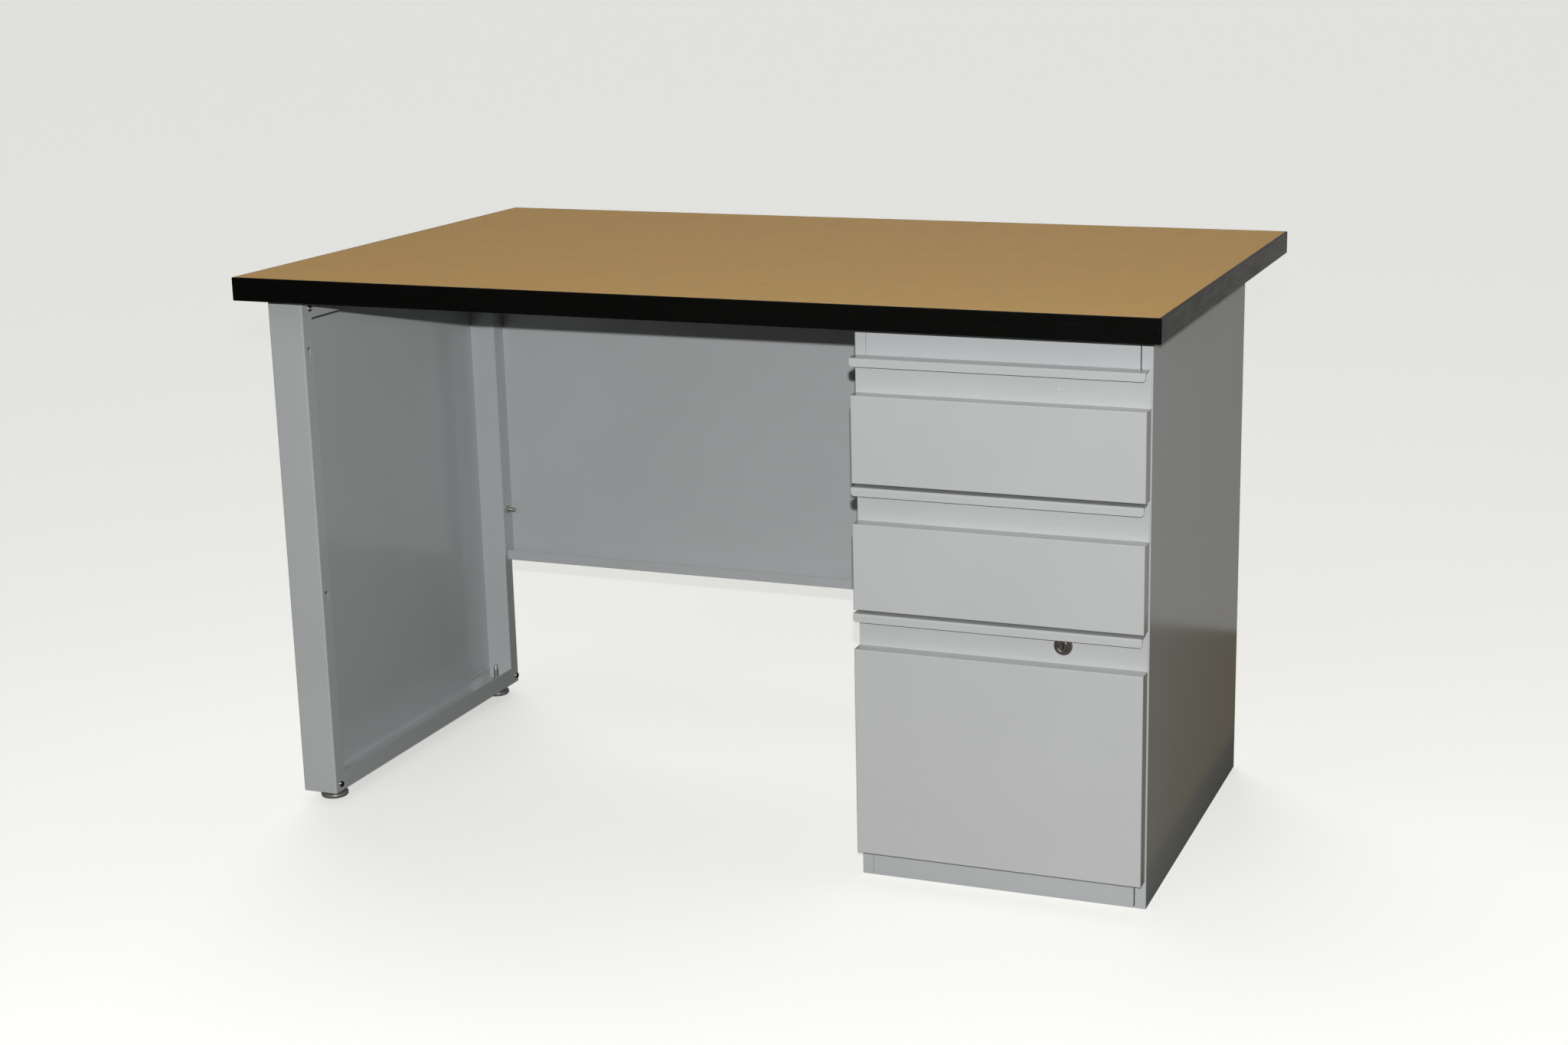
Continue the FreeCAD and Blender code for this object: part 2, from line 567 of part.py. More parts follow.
def lock():
    z0, height = drawer_levels()[-1]
    top = z0 + height
    z = top - LOCK_DROP

    def along(radius, a, b):
        return rod(radius, (LOCK_X, RECESS_Y + a, z), (LOCK_X, RECESS_Y + b, z))

    bezel = rounded(along(11.4, -2.6, 0), 0.8, lambda c, b: near(c.y, RECESS_Y - 2.6))
    cylinder = joined([bezel, along(LOCK_RADIUS, -0.2, 17)])
    dish = Part.makeCone(DISH_RADIUS, DISH_RADIUS - DISH_DEPTH * 1.4, DISH_DEPTH,
                         V(LOCK_X, RECESS_Y - 2.6, z), V(0, 1, 0))
    cylinder = cylinder.cut([along(PLUG_RADIUS + RUNNING, -5, 20), dish])
    save("lock_cylinder", cylinder)
    nut = hexagon(22.0, (LOCK_X, RECESS_Y + 1, z), (LOCK_X, RECESS_Y + 4, z)).cut(along(LOCK_RADIUS, 0, 5))
    save("lock_nut", nut)
    plug = rounded(along(PLUG_RADIUS, -2.1, 17.4), 0.4, lambda c, b: near(c.y, RECESS_Y - 2.1))
    keyway = block(LOCK_X - 0.7, LOCK_X + 0.7, RECESS_Y - 3, RECESS_Y + 12, z - 4.2, z + 4.2)
    save("lock_plug", plug.cut([keyway, along(1.9, 13, 18)]))
    ya, yb = RECESS_Y + 17.4, RECESS_Y + 17.4 + CAM_SHEET
    cam = joined([rod(8, (LOCK_X, ya, z), (LOCK_X, yb, z)),
                  block(LOCK_X - CAM_REACH + 5, LOCK_X, ya, yb, z - 5, z + 5),
                  rod(5, (LOCK_X - CAM_REACH + 5, ya, z), (LOCK_X - CAM_REACH + 5, yb, z))])
    save("lock_cam", cam.cut(along(1.9, 13, 22)))
    save("cam_screw", screw(4.0, 2.2, 1.9, 6.0, (LOCK_X, yb, z), (0, 1, 0)))
    lock_rail(top, RECESS_Y + 17.4)


def lock_rail(lip_top, cam_y):
    """Cross rail over the file drawer, and the tab in front of the turned cam."""
    t = CASE_SHEET
    xa, xb = POST_EDGE + LEFT_SEAM, 2 * PED_MID - POST_EDGE - RIGHT_SEAM
    web = BASE_Y0 + 1.2
    low, high = lip_top - 7, lip_top + 8
    tab_y = cam_y - 1.4
    save("pedestal_lock_rail", joined([block(xa, xb, web, web + t, low, high),
                                       block(xa, xb, web, tab_y + 6, high - t, high)]))
    save("lock_strike", joined([block(LOCK_X - 15, LOCK_X + 15, tab_y - 1.2, tab_y, low, high - t),
                                block(LOCK_X - 15, LOCK_X + 15, web + t, tab_y, high - t - 1.2, high - t)]))


worktop()
end_panel()
modesty_panel()
pedestal_case()
drawers()
lock()
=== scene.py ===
"""Single-pedestal steel desk with a laminate worktop: finishes, fine hardware, studio and camera.

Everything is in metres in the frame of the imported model: +Z up, the sitter on the -Y side, the pedestal
at +X.
"""
import json
import math

import bpy
import numpy as np
from mathutils import Euler, Matrix, Vector


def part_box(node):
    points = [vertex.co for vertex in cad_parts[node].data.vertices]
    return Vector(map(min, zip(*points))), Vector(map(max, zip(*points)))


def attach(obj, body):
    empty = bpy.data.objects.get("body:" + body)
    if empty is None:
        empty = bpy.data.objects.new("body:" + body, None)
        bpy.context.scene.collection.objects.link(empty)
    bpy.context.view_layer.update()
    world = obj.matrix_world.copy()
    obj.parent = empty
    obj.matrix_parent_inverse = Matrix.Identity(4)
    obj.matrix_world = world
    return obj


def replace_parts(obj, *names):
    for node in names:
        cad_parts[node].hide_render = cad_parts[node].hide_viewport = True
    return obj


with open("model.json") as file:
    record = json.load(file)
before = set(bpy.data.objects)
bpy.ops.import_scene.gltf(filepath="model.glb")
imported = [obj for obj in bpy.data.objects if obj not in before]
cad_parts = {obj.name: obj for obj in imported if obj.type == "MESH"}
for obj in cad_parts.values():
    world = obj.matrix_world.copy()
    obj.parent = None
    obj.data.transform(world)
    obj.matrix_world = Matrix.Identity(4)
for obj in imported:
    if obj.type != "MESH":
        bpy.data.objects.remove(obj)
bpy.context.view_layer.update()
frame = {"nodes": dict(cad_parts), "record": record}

MM = 0.001
SMOOTH_DEGREES = 35       # edges sharper than this stay crisp

# scrapes on the front of the modesty panel beside its lower left bolt, with their half length and width
SPANNER_MARKS = ((-0.5205, 0.1915, 0.2984), (-0.5168, 0.1915, 0.2871))
MARK_LENGTH = 3.4 * MM
MARK_WIDTH = 0.8 * MM


# ---- colour and node tools ----------------------------------------------------------------------------
def linear(colour):
    """sRGB hex to linear red, green, blue and alpha: the standard two-part sRGB curve."""
    values = np.array([int(colour[i:i + 2], 16) for i in (1, 3, 5)]) / 255
    values = np.where(values <= 0.04045, values / 12.92, ((values + 0.055) / 1.055) ** 2.4)
    return (*values.tolist(), 1.0)


def add(tree, kind, inputs=None, **settings):
    """One shader node with its settings; an input given as a socket is linked, any other is a value."""
    node = tree.nodes.new("ShaderNode" + kind)
    for key, value in settings.items():
        setattr(node, key, value)
    for key, value in (inputs or {}).items():
        if isinstance(value, bpy.types.NodeSocket):
            tree.links.new(value, node.inputs[key])
        else:
            node.inputs[key].default_value = value
    return node


def new_material(name, **values):
    """Material with one Principled shader; values are the shader's own even settings."""
    made = bpy.data.materials.new(name)
    made.use_nodes = True
    tree = made.node_tree
    shader = next(n for n in tree.nodes if n.type == "BSDF_PRINCIPLED")
    for key, value in values.items():
        shader.inputs[key.replace("_", " ")].default_value = value
    place = add(tree, "TexCoord").outputs["Object"]
    return made, tree, shader, place


def noise(tree, place, size_mm, detail=2.0, rough=0.5, stretch=(1, 1, 1)):
    """Noise value whose features are about size_mm across, drawn out along an axis by its stretch."""
    scale = [1 / s for s in stretch]
    spread = add(tree, "Mapping", {"Vector": place, "Scale": scale})
    return add(tree, "TexNoise", {"Vector": spread.outputs[0], "Scale": 1 / (size_mm * MM), "Detail": detail,
                                  "Roughness": rough}).outputs[0]


def span(tree, value, low, high, to_low, to_high):
    """Value carried from low..high to to_low..to_high, held at the ends."""
    return add(tree, "MapRange", {"Value": value, "From Min": low, "From Max": high, "To Min": to_low,
                                  "To Max": to_high}).outputs[0]


def blend(tree, factor, first, second):
    """Colour between two colours or sockets by a factor."""
    return add(tree, "Mix", {0: factor, 6: first, 7: second}, data_type="RGBA").outputs[2]


def times(tree, first, second):
    """Product of two values or sockets."""
    return add(tree, "Math", {0: first, 1: second}, operation="MULTIPLY").outputs[0]


def bump(tree, shader, height, depth_mm):
    """Fine relief of a real depth in millimetres."""
    relief = add(tree, "Bump", {"Height": height, "Distance": depth_mm * MM, "Strength": 1.0})
    tree.links.new(relief.outputs[0], shader.inputs["Normal"])


# ---- materials ----------------------------------------------------------------------------------------
def laminate():
    """Matt high-pressure laminate: printed paper under melamine, so a faint cloudy print with short dark
    flecks along the board, and a suede texture that takes only a soft sheen."""
    made, tree, shader, place = new_material("tan suede laminate", IOR=1.5, Specular_IOR_Level=0.35)
    cloud = noise(tree, place, 34, 3.0, 0.55, (1.0, 1.8, 1.0))
    colour = blend(tree, span(tree, cloud, 0.38, 0.62, 0, 1), linear("#E2B05A"), linear("#DEB264"))
    streak = noise(tree, place, 5, 3.0, 0.6, (7.0, 1.0, 1.0))
    colour = blend(tree, span(tree, streak, 0.55, 0.75, 0, 0.22), colour, linear("#C69A4E"))
    fleck = noise(tree, place, 1.8, 1.0, 0.5, (1.8, 1.0, 1.0))
    colour = blend(tree, span(tree, fleck, 0.66, 0.74, 0, 0.45), colour, linear("#93733D"))
    tree.links.new(colour, shader.inputs["Base Color"])
    tree.links.new(span(tree, cloud, 0.3, 0.7, 0.46, 0.54), shader.inputs["Roughness"])
    bump(tree, shader, noise(tree, place, 0.9, 2.0), 0.02)
    return made


def particleboard():
    """Raw three-layer particleboard: pale and dark chips a few millimetres long, no shine."""
    made, tree, shader, place = new_material("raw particleboard", IOR=1.45, Roughness=0.9)
    chip = add(tree, "TexVoronoi", {"Vector": place, "Scale": 1 / (3.5 * MM)})
    colour = blend(tree, chip.outputs["Distance"], linear("#C2A274"), linear("#8A6B42"))
    tree.links.new(colour, shader.inputs["Base Color"])
    bump(tree, shader, chip.outputs["Distance"], 0.15)
    return made


def backer():
    """Brown phenolic backer sheet: resin-soaked kraft paper, dark, with faint sanding marks across it."""
    made, tree, shader, place = new_material("brown phenolic backer", IOR=1.5)
    sanding = noise(tree, place, 1.2, 2.0, 0.6, (25.0, 1.0, 1.0))
    cloud = noise(tree, place, 60, 3.0)
    colour = blend(tree, span(tree, sanding, 0.35, 0.65, 0, 1), linear("#30291F"), linear("#3B3226"))
    colour = blend(tree, span(tree, cloud, 0.35, 0.65, 0, 0.4), colour, linear("#28221B"))
    tree.links.new(colour, shader.inputs["Base Color"])
    tree.links.new(span(tree, cloud, 0.3, 0.7, 0.5, 0.62), shader.inputs["Roughness"])
    bump(tree, shader, sanding, 0.02)
    return made


def edge_band():
    """Black extruded PVC edge band: a fine pebble grain, satin, with a few rubbed streaks along it."""
    made, tree, shader, place = new_material("black PVC edge band", IOR=1.5, Specular_IOR_Level=0.12)
    pebble = noise(tree, place, 0.8, 2.0, 0.6)
    rubbed = noise(tree, place, 9, 3.0, 0.6, (6.0, 6.0, 1.0))
    colour = blend(tree, span(tree, pebble, 0.4, 0.7, 0, 1), linear("#0B0B0A"), linear("#0F0F0E"))
    colour = blend(tree, span(tree, rubbed, 0.6, 0.78, 0, 0.3), colour, linear("#171715"))
    tree.links.new(colour, shader.inputs["Base Color"])
    tree.links.new(span(tree, rubbed, 0.35, 0.7, 0.22, 0.30), shader.inputs["Roughness"])
    bump(tree, shader, pebble, 0.05)
    return made


def powder_coat(name, light, dark, marks=False):
    """Baked polyester powder coat on sheet steel: even light grey, a fine orange peel about 2 mm across,
    semi-gloss, with faint handling smears, a few paler specks and, where marks is set, the pale scrapes
    that a spanner leaves beside the modesty panel's lower bolt."""
    made, tree, shader, place = new_material(name, IOR=1.5)
    smear = noise(tree, place, 120, 3.0, 0.5)
    speck = noise(tree, place, 2.2, 1.0)
    colour = blend(tree, span(tree, smear, 0.35, 0.65, 0, 1), linear(light), linear(dark))
    colour = blend(tree, span(tree, speck, 0.74, 0.8, 0, 0.4), colour, linear("#DCDCD8"))
    if marks:
        for at in SPANNER_MARKS:
            away = add(tree, "Mapping", {"Vector": place, "Location": [-c for c in at]})
            scale = (1 / MARK_LENGTH, 50, 1 / MARK_WIDTH)
            reach = add(tree, "Mapping", {"Vector": away.outputs[0], "Scale": scale})
            far = add(tree, "VectorMath", {0: reach.outputs[0]}, operation="LENGTH").outputs["Value"]
            colour = blend(tree, span(tree, far, 0.6, 1.1, 0.7, 0), colour, linear("#D8D5CC"))
    tree.links.new(colour, shader.inputs["Base Color"])
    tree.links.new(span(tree, smear, 0.3, 0.7, 0.14, 0.17), shader.inputs["Roughness"])
    bump(tree, shader, noise(tree, place, 2.0, 1.0), 0.012)
    return made


def plated_steel(name, colour, shade, rough, grain=(1, 1, 1), grain_mm=1.5, metal=1.0):
    """Plated steel: the zinc or nickel gives its tint, fine working marks run along the grain, and the
    plating clouds over in soft patches."""
    made, tree, shader, place = new_material(name, Metallic=metal)
    cloud = noise(tree, place, 9, 3.0, 0.6)
    marks = noise(tree, place, grain_mm, 2.0, 0.6, grain)
    tint = blend(tree, span(tree, cloud, 0.35, 0.65, 0, 1), linear(colour), linear(shade))
    tree.links.new(tint, shader.inputs["Base Color"])
    tree.links.new(span(tree, marks, 0.3, 0.7, rough - 0.06, rough + 0.08), shader.inputs["Roughness"])
    bump(tree, shader, marks, 0.008)
    return made


def rubber():
    """Moulded rubber pad: black, dull, with a dusty bloom."""
    made, tree, shader, place = new_material("black rubber", IOR=1.5, Roughness=0.8)
    dust = noise(tree, place, 1.5, 3.0)
    tree.links.new(blend(tree, span(tree, dust, 0.4, 0.7, 0, 0.5), linear("#141414"), linear("#2C2B29")),
                   shader.inputs["Base Color"])
    bump(tree, shader, dust, 0.04)
    return made


finishes = {
    "laminate": laminate(),
    "particleboard": particleboard(),
    "backer": backer(),
    "edge_band": edge_band(),
    "case_paint": powder_coat("grey powder coat on the case", "#C2C5C6", "#C0C3C4"),
    "drawer_paint": powder_coat("grey powder coat on the drawers", "#C5C7C7", "#C3C5C5"),
    "zinc_screw": plated_steel("dark zinc screws", "#A9A69E", "#8F8C85", 0.24),
    "glide_steel": plated_steel("dull zinc glides", "#B0B2AF", "#9FA19E", 0.38, metal=0.55),
    "slide_steel": plated_steel("zinc-plated slides", "#C6C8C9", "#B4B7B9", 0.30, (1, 30, 1), 0.8, metal=0.6),
    "lock_nickel": plated_steel("dark nickel lock", "#A5A098", "#86817A", 0.33, metal=0.92),
    "cam_steel": plated_steel("zinc-plated cam", "#BBBAB2", "#A8A79F", 0.34, metal=0.7),
    "rubber": rubber(),
}
bright_zinc = plated_steel("bright zinc bolts", "#D8D5CE", "#BFBCB5", 0.24, metal=0.95)
marked_coat = powder_coat("grey powder coat, scraped by a spanner", "#C2C5C6", "#C0C3C4", marks=True)


def dress_frame():
    """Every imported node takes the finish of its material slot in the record."""
    for part in frame["record"]["subparts"]:
        piece = frame["nodes"][part["node"]]
        piece.data.materials.clear()
        marked = part["node"] == "modesty_panel"
        piece.data.materials.append(marked_coat if marked else finishes[part["material_slot"]])


# ---- fine hardware ------------------------------------------------------------------------------------
def shell(rings):
    """Closed skin over rings of points, an array of shape (rings, around, 3): neighbouring rings are joined
    by quads, and the first and last ring are closed by a fan to their middle point."""
    count, around = rings.shape[:2]
    points = np.vstack([rings.reshape(-1, 3), rings[0].mean(0), rings[-1].mean(0)])
    i, j = np.meshgrid(np.arange(count - 1), np.arange(around), indexing="ij")
    k = (j + 1) % around
    quads = np.stack([i * around + j, i * around + k, (i + 1) * around + k, (i + 1) * around + j], -1)
    a = np.arange(around)
    b = (a + 1) % around
    start, end = count * around, count * around + 1
    last = (count - 1) * around
    fans = np.vstack([np.stack([b, a, np.full(around, start)], -1),
                      np.stack([last + a, last + b, np.full(around, end)], -1)])
    return points, quads.reshape(-1, 4), fans


def piece_from(name, shells, body, slot_name, finish=None):
    """One mesh piece from closed shells, riding on a body, with the finish of a material slot."""
    points, faces, shift = [], [], 0
    for shell_points, quads, fans in shells:
        points.append(shell_points)
        faces += (quads + shift).tolist() + (fans + shift).tolist()
        shift += len(shell_points)
    mesh = bpy.data.meshes.new(name)
    mesh.from_pydata(np.vstack(points).tolist(), [], faces)
    mesh.shade_smooth()
    mesh.set_sharp_from_angle(angle=math.radians(SMOOTH_DEGREES))
    mesh.materials.append(finish or finishes[slot_name])
    piece = bpy.data.objects.new(name, mesh)
    bpy.context.collection.objects.link(piece)
    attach(piece, body)
    return piece


def placed(rings, at, axis):
    """Rings made along +Z, turned so that +Z is the axis given, and moved to a point."""
    turn = np.array(Vector((0, 0, 1)).rotation_difference(Vector(axis)).to_matrix())
    return rings @ turn.T + np.array(at)


def turned(profile, at, axis=(0, 0, 1), around=48):
    """Round piece: each (radius, height) of the profile, in millimetres, is a circle round the axis."""
    profile = np.array(profile) * MM
    angle = np.linspace(0, 2 * np.pi, around, endpoint=False)
    rings = np.empty((len(profile), around, 3))
    rings[..., 0] = profile[:, :1] * np.cos(angle)
    rings[..., 1] = profile[:, :1] * np.sin(angle)
    rings[..., 2] = profile[:, 1:]
    return shell(placed(rings, at, axis))


def threaded(crest, depth, pitch, low, high, at, axis=(0, 0, 1), around=24, steps=8):
    """Screw thread: the radius is the root plus the depth times a ridge, which goes from 0 to 1 and back over
    each pitch, flat at its crest and root, and advances one pitch a turn.  The ridge fades to the root over
    the first and the last pitch."""
    rows = max(4, int(round((high - low) / pitch * steps)))
    height = np.linspace(low, high, rows + 1)[:, None]
    angle = np.linspace(0, 2 * np.pi, around, endpoint=False)[None, :]
    wave = np.abs(2 * ((height / pitch - angle / (2 * np.pi)) % 1.0) - 1)
    ridge = np.clip(1.5 * wave - 0.25, 0, 1)
    fade = np.clip(np.minimum(height - low, high - height) / pitch, 0, 1)
    radius = crest - depth * (1 - ridge * fade)
    rings = np.stack([radius * np.cos(angle), radius * np.sin(angle), height + 0 * angle], -1) * MM
    return shell(placed(rings, at, axis))


def hexagonal(across, low, high, at, axis=(0, 0, 1), chamfer=0.5, around=72):
    """Chamfered hexagon with a corner at angle 0: the radius is the flat's distance over the cosine of the
    angle from its middle, cut at both ends by a cone that starts a chamfer's height below the end."""
    angle = np.linspace(0, 2 * np.pi, around, endpoint=False)[None, :]
    flat = across / 2
    hexed = flat / np.cos(angle % (np.pi / 3) - np.pi / 6)
    inner, outer = flat * 0.97, flat * 1.16
    depth = np.array([0, chamfer * 0.35, chamfer, chamfer * 1.6])
    cone = inner + (outer - inner) * depth / (chamfer * 1.6)
    height = np.concatenate([low + depth, (high - depth)[::-1]])[:, None]
    limit = np.concatenate([cone, cone[::-1]])[:, None]
    radius = np.minimum(hexed, limit)
    rings = np.stack([radius * np.cos(angle), radius * np.sin(angle), height + 0 * angle], -1) * MM
    return shell(placed(rings, at, axis))


def arc(centre, radius, start, end, steps=6):
    """Points of an arc in a profile, between two angles in degrees."""
    angle = np.radians(np.linspace(start, end, steps))
    return np.stack([centre[0] + radius * np.cos(angle), centre[1] + radius * np.sin(angle)], -1).tolist()


def spheres(centres, radius, around=10, rows=7):
    """Balls: each is rings of points at even angles from just beside one pole to just beside the other."""
    beside = 0.02
    tilt = np.linspace(beside, np.pi - beside, rows)
    profile = np.stack([radius * np.sin(tilt), -radius * np.cos(tilt)], -1)
    return [turned(profile, at, around=around) for at in centres]


def plate(x0, x1, y0, y1, z0, z1):
    """Thin closed plate between two corners, in millimetres: four rings along Y with eased ends."""
    ease = min(0.3, (x1 - x0) * 0.3)
    rings = []
    for y, inset in ((y0, ease), (y0 + ease, 0), (y1 - ease, 0), (y1, ease)):
        a, b, c, d = x0 + inset, x1 - inset, z0 + inset, z1 - inset
        rings.append([(a, y, c), (b, y, c), (b, y, d), (a, y, d)])
    return shell(np.array(rings, float)[::-1] * MM)


# ball bearings of the slides, millimetres
BALL_PITCH = 17.0
BALLS = 12
RETAINER_WEB = 0.6        # sheet of the retainer's upright web
RETAINER_SHELF = 0.4      # sheet of the shelves that hold the balls
SHELF_REACH = 1.2         # from the middle of the balls to the shelf's edge
RETAINER_END = 8.0        # from the last ball to the retainer's end
# distance from the pedestal's wall, height over the slide's middle, ball radius, web, place of the first ball
BALL_ROWS = ((5.4, 19.15, 2.05, 1.8, -92.0), (8.7, 13.9, 1.8, 5.2, -312.0))


def slide_balls():
    """Ball bearings of the telescopic slides: two rows of balls in a pressed retainer between the outer and
    middle members, and two between the middle and inner members, on each side of each drawer.  At rest the
    outer ones lie in the rear half and the inner ones in the front half, where every pull keeps them."""
    for name in ("upper", "lower", "file"):
        low, high = (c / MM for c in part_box(name + "_slide_outer_members"))
        z = (low.z + high.z) / 2
        shells = []
        for side, wall in ((1, low.x), (-1, high.x)):
            for out, row, ball, web, first in BALL_ROWS:
                x = wall + side * out
                strip = sorted((wall + side * web, wall + side * (web + RETAINER_WEB)))
                across = sorted((wall + side * web, x + side * SHELF_REACH))
                ends = (first - RETAINER_END, first + BALL_PITCH * (BALLS - 1) + RETAINER_END)
                inner = row - ball
                outer = inner + RETAINER_SHELF
                shells.append(plate(*strip, *ends, z - outer, z + outer))
                for way in (1, -1):
                    shelf = sorted((z + way * inner, z + way * outer))
                    shells.append(plate(*across, *ends, *shelf))
                    row_y = [(first + i * BALL_PITCH) * MM for i in range(BALLS)]
                    shells += spheres([(x * MM, y, (z + way * row) * MM) for y in row_y], ball)
        piece_from(name + "_slide_balls", shells, name + "_middle_members", "slide_steel")


# levelling glides, millimetres above the floor
GLIDE_RADIUS = 18.5
GLIDE_TOP = 6.6
GLIDE_SOLE = 3.0          # radius of the edge round the sole
GLIDE_RIM = 2.2           # radius of the rolled rim
GLIDE_HEX = 12.7
COLLAR_TOP = 11.9
STEM_RADIUS = 3.97
STEM_DEPTH = 0.55
STEM_PITCH = 1.411
STEM_END = 40.4


def levelling_glides():
    """Steel disc with a rolled rim, a hexagonal collar for the spanner, and a threaded stem with a dimpled
    dog point."""
    foot = [(0.3, 0.0), (GLIDE_RADIUS - GLIDE_SOLE - 0.4, 0.0)]
    foot += arc((GLIDE_RADIUS - GLIDE_SOLE, GLIDE_SOLE), GLIDE_SOLE, -90, 0)
    foot += arc((GLIDE_RADIUS - GLIDE_RIM, GLIDE_TOP - GLIDE_RIM), GLIDE_RIM, 0, 90)
    foot += [(10.2, GLIDE_TOP), (9.4, GLIDE_TOP + 0.5), (0.3, GLIDE_TOP + 0.6)]
    point = [(0.3, 39.4), (STEM_RADIUS - 0.6, 39.4), (STEM_RADIUS - 0.7, 40.6), (2.8, 41.4), (2.8, 45.2)]
    point += [(2.4, 45.9), (1.4, 46.0), (1.3, 45.3), (0.3, 45.3)]
    for name in ("front_glide", "rear_glide"):
        low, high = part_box(name)
        at = ((low.x + high.x) / 2, (low.y + high.y) / 2, low.z)
        shells = [turned(foot, at, around=72), hexagonal(GLIDE_HEX, GLIDE_TOP + 0.3, COLLAR_TOP, at),
                  threaded(STEM_RADIUS, STEM_DEPTH, STEM_PITCH, COLLAR_TOP - 0.4, STEM_END, at),
                  turned(point, at, around=32)]
        piece = piece_from(name + "_threaded", shells, name + "_body", "glide_steel")
        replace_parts(piece, name)


# modesty panel bolts, millimetres
BOLT_RADIUS = 3.0
BOLT_HEAD = 4.0
BOLT_LENGTH = 20.8        # top of the head to the end of the thread
THREAD_DEPTH = 0.35
THREAD_PITCH = 1.0
NUT_ACROSS = 10.0
NUT_HEIGHT = 5.2


def modesty_hardware():
    """Hexagon bolts with rolled threads and chamfered nuts, two at each side of the modesty panel, each with
    a corner of the hexagon up, half the distance across corners from the ends of the pieces' box."""
    low, high = (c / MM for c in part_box("modesty_bolts"))
    nut_low, nut_high = (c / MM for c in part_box("modesty_nuts"))
    corner = NUT_ACROSS / math.sqrt(3)
    bolts, nuts = [], []
    for z in (low.z + corner, high.z - corner):
        for end, nut_end, way in ((low.x, nut_low.x, 1), (high.x, nut_high.x, -1)):
            at = Vector((end, (low.y + high.y) / 2, z)) * MM
            axis = (way, 0, 0)
            seat = (nut_end - end) * way
            bolts.append(hexagonal(NUT_ACROSS, 0, BOLT_HEAD, at, axis))
            bolts.append(threaded(BOLT_RADIUS, THREAD_DEPTH, THREAD_PITCH, BOLT_HEAD - 0.2, BOLT_LENGTH, at,
                                  axis))
            nuts.append(hexagonal(NUT_ACROSS, seat, seat + NUT_HEIGHT, at, axis))
    for name, shells, node in (("modesty_bolts_threaded", bolts, "modesty_bolts"),
                               ("modesty_nuts_chamfered", nuts, "modesty_nuts")):
        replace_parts(piece_from(name, shells, "desk_frame", "zinc_screw", bright_zinc), node)


# ---- studio -------------------------------------------------------------------------------------------
def sheet(name, low, high, z, colour, fibre, glow):
    """Flat rectangular sheet at a height, with an even glow of its own."""
    (xa, ya), (xb, yb) = low, high
    mesh = bpy.data.meshes.new(name)
    mesh.from_pydata([(xa, ya, z), (xb, ya, z), (xb, yb, z), (xa, yb, z)], [], [(0, 1, 2, 3)])
    piece = bpy.data.objects.new(name, mesh)
    bpy.context.collection.objects.link(piece)
    made, tree, shader, place = new_material(name + " paper", Roughness=0.95)
    grain = span(tree, noise(tree, place, 3, 2.0), 0.3, 0.7, 0, 1)
    tree.links.new(blend(tree, grain, linear(colour), linear(fibre)), shader.inputs["Base Color"])
    shader.inputs["Emission Color"].default_value = linear(colour)
    shader.inputs["Emission Strength"].default_value = glow
    mesh.materials.append(made)
    return piece


def lamp(name, kind, at, to, energy, **settings):
    """Light at a point, aimed at another."""
    data = bpy.data.lights.new(name, kind)
    data.energy = energy
    for key, value in settings.items():
        setattr(data, key, value)
    piece = bpy.data.objects.new(name, data)
    piece.location = at
    piece.rotation_euler = (Vector(to) - Vector(at)).to_track_quat("-Z", "Y").to_euler()
    bpy.context.collection.objects.link(piece)
    return piece


# brightness of the room's walls and ceiling, the dimming of its sides, and the backdrop behind the floor
ROOM_FRONT = 0.02
ROOM_BACK = 0.36
ROOM_CEILING = 0.34
ROOM_RIGHT = 0.08
ROOM_LEFT = 0.35
BACKDROP = 0.9
CAMERA_AT = Vector((1.2084, -2.9388, 1.1708))
KEY_OFFSET = Vector((0.012, -0.02, 0.105))
KEY_SIZE = 0.024
VIEW_AZIMUTH = 20.447
VIEW_ELEVATION = 13.985
VIEW_ROLL = -0.889
LENS = 54.505
LENS_SHIFT = (-0.0516, -0.0118)


def camera():
    """Camera at a standing person's chest, to the right of the desk, with a little roll and lens shift."""
    data = bpy.data.cameras.new("camera")
    data.sensor_width = 36.0
    data.lens = LENS
    data.shift_x, data.shift_y = LENS_SHIFT
    piece = bpy.data.objects.new("camera", data)
    look = Euler((math.radians(90 - VIEW_ELEVATION), 0, math.radians(VIEW_AZIMUTH))).to_matrix()
    turn = look @ Matrix.Rotation(math.radians(VIEW_ROLL), 3, "Z")
    piece.matrix_world = Matrix.Translation(CAMERA_AT) @ turn.to_4x4()
    bpy.context.collection.objects.link(piece)
    bpy.context.scene.camera = piece


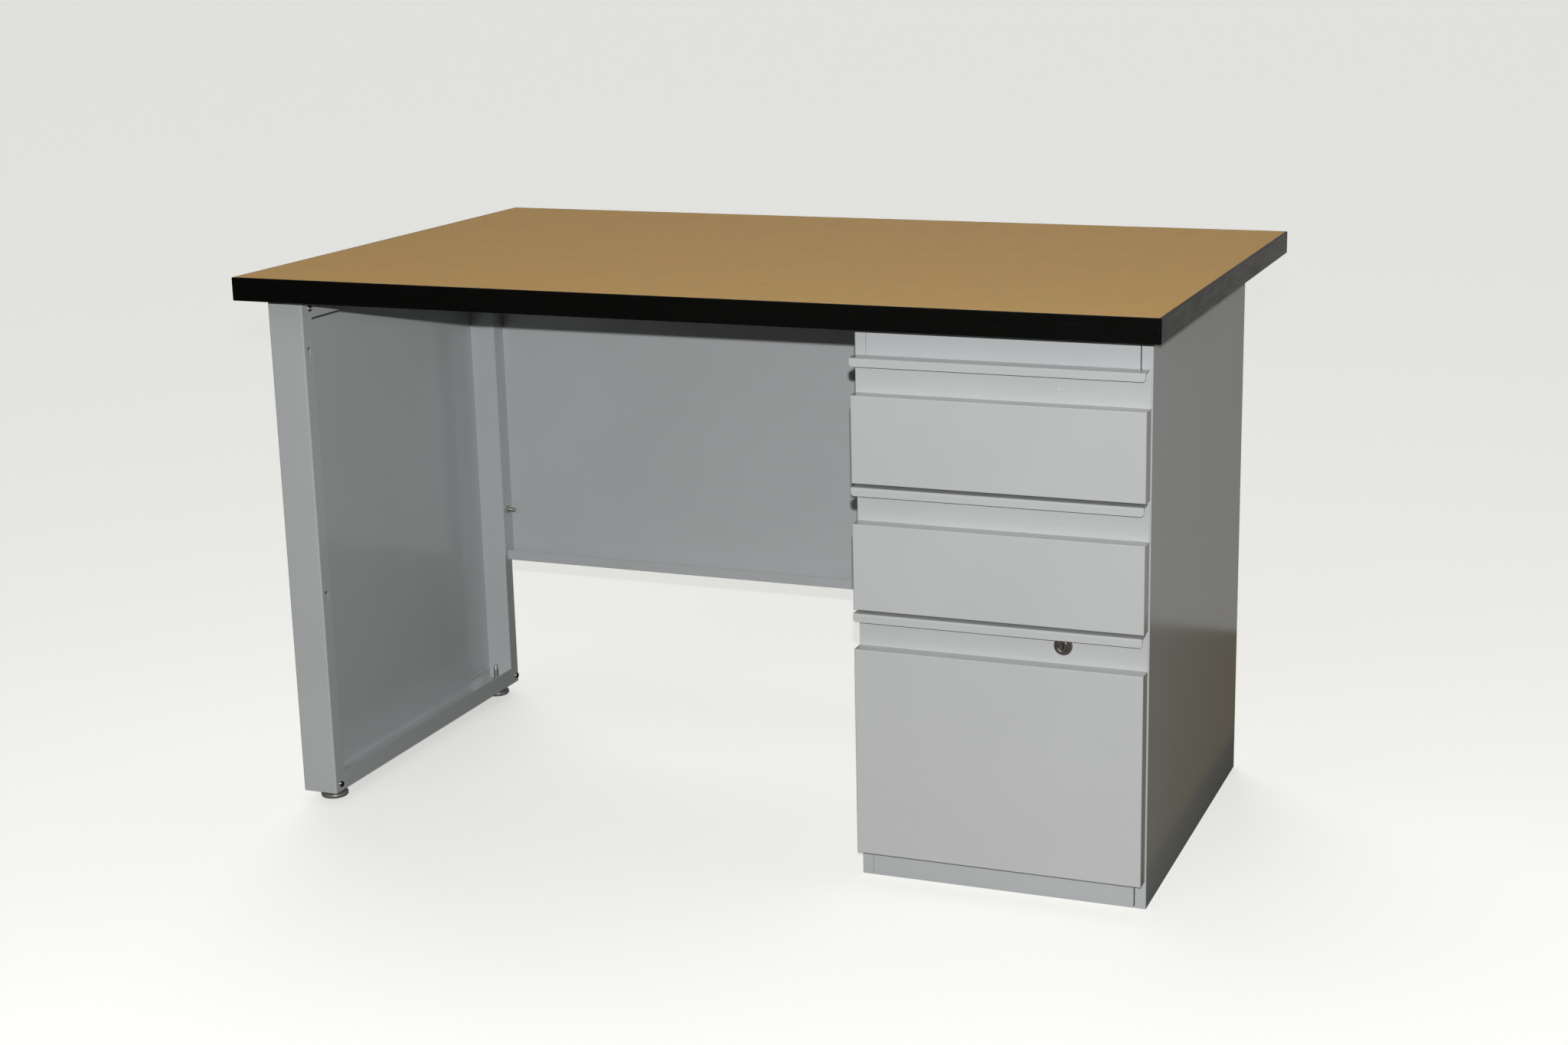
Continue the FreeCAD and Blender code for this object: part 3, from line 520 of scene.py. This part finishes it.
def room_light():
    """World light: a dim room with a brighter wall behind the desk and a pale ceiling; a pale backdrop where
    the camera looks past the floor.  Brightness is a wall by the direction's Y and Z, plus a ceiling by Z,
    dimmed at both sides by X."""
    world = bpy.data.worlds.new("studio")
    bpy.context.scene.world = world
    world.use_nodes = True
    tree = world.node_tree
    back = next(n for n in tree.nodes if n.type == "BACKGROUND")
    way = add(tree, "SeparateXYZ", {0: add(tree, "TexCoord").outputs["Generated"]})
    wall = times(tree, span(tree, way.outputs["Y"], 0.1, 0.8, 0, ROOM_BACK),
                 span(tree, way.outputs["Z"], 0.18, 0.34, 1, 0.4))
    ceiling = span(tree, way.outputs["Z"], 0.25, 0.7, ROOM_FRONT, ROOM_CEILING)
    sides = times(tree, span(tree, way.outputs["X"], 0.28, 0.55, 1, ROOM_RIGHT),
                  span(tree, way.outputs["X"], -0.6, -0.25, ROOM_LEFT, 1))
    room = times(tree, add(tree, "Math", {0: wall, 1: ceiling}, operation="ADD").outputs[0], sides)
    seen = add(tree, "LightPath").outputs["Is Camera Ray"]
    strength = add(tree, "Mix", {0: seen, 2: room, 3: BACKDROP}, data_type="FLOAT").outputs[0]
    back.inputs["Color"].default_value = linear("#FAF8F4")
    tree.links.new(strength, back.inputs["Strength"])


def studio():
    """Pale floor that only the camera sees, four sheets of carpet just under it that light and mirror in the
    desk, the room, two wide suns kept out of reflections, and a small key light just above the camera."""
    floor = sheet("floor", (-60, -60), (60, 60), 0.0, "#E6E6E3", "#E1E1DE", 0.60)
    floor.visible_diffuse = False
    floor.visible_glossy = False
    for name, low, high, colour, pile, glow in (
            ("far_carpet", (-3, -4), (3, -0.8), "#3A372F", "#322F28", 0.0),
            ("pale_strip", (-1.2, -0.8), (1.2, -0.36), "#8A8781", "#7C7973", 0.4),
            ("dark_carpet", (-3, -0.36), (0.62, 0.83), "#2C2923", "#26231E", 0.0),
            ("brown_carpet", (0.62, -0.36), (3, 0.83), "#766842", "#6A5D3A", 0.32)):
        carpet = sheet(name, low, high, -0.002, colour, pile, glow)
        carpet.visible_camera = False
    room_light()
    centre = (0.0, 0.0, 0.4)
    for name, at, energy, spread in (("bounce", (-0.8, -3.0, 1.8), 0.27, 60),
                                     ("back", (-2.2, 3.2, 1.2), 1.9, 50)):
        sun = lamp(name, "SUN", at, centre, energy, angle=math.radians(spread))
        sun.visible_glossy = False
    lamp("key", "AREA", CAMERA_AT + KEY_OFFSET, centre, 66.0, shape="DISK", size=KEY_SIZE)
    bpy.context.scene.view_settings.view_transform = "Standard"


dress_frame()
levelling_glides()
modesty_hardware()
slide_balls()
studio()
camera()
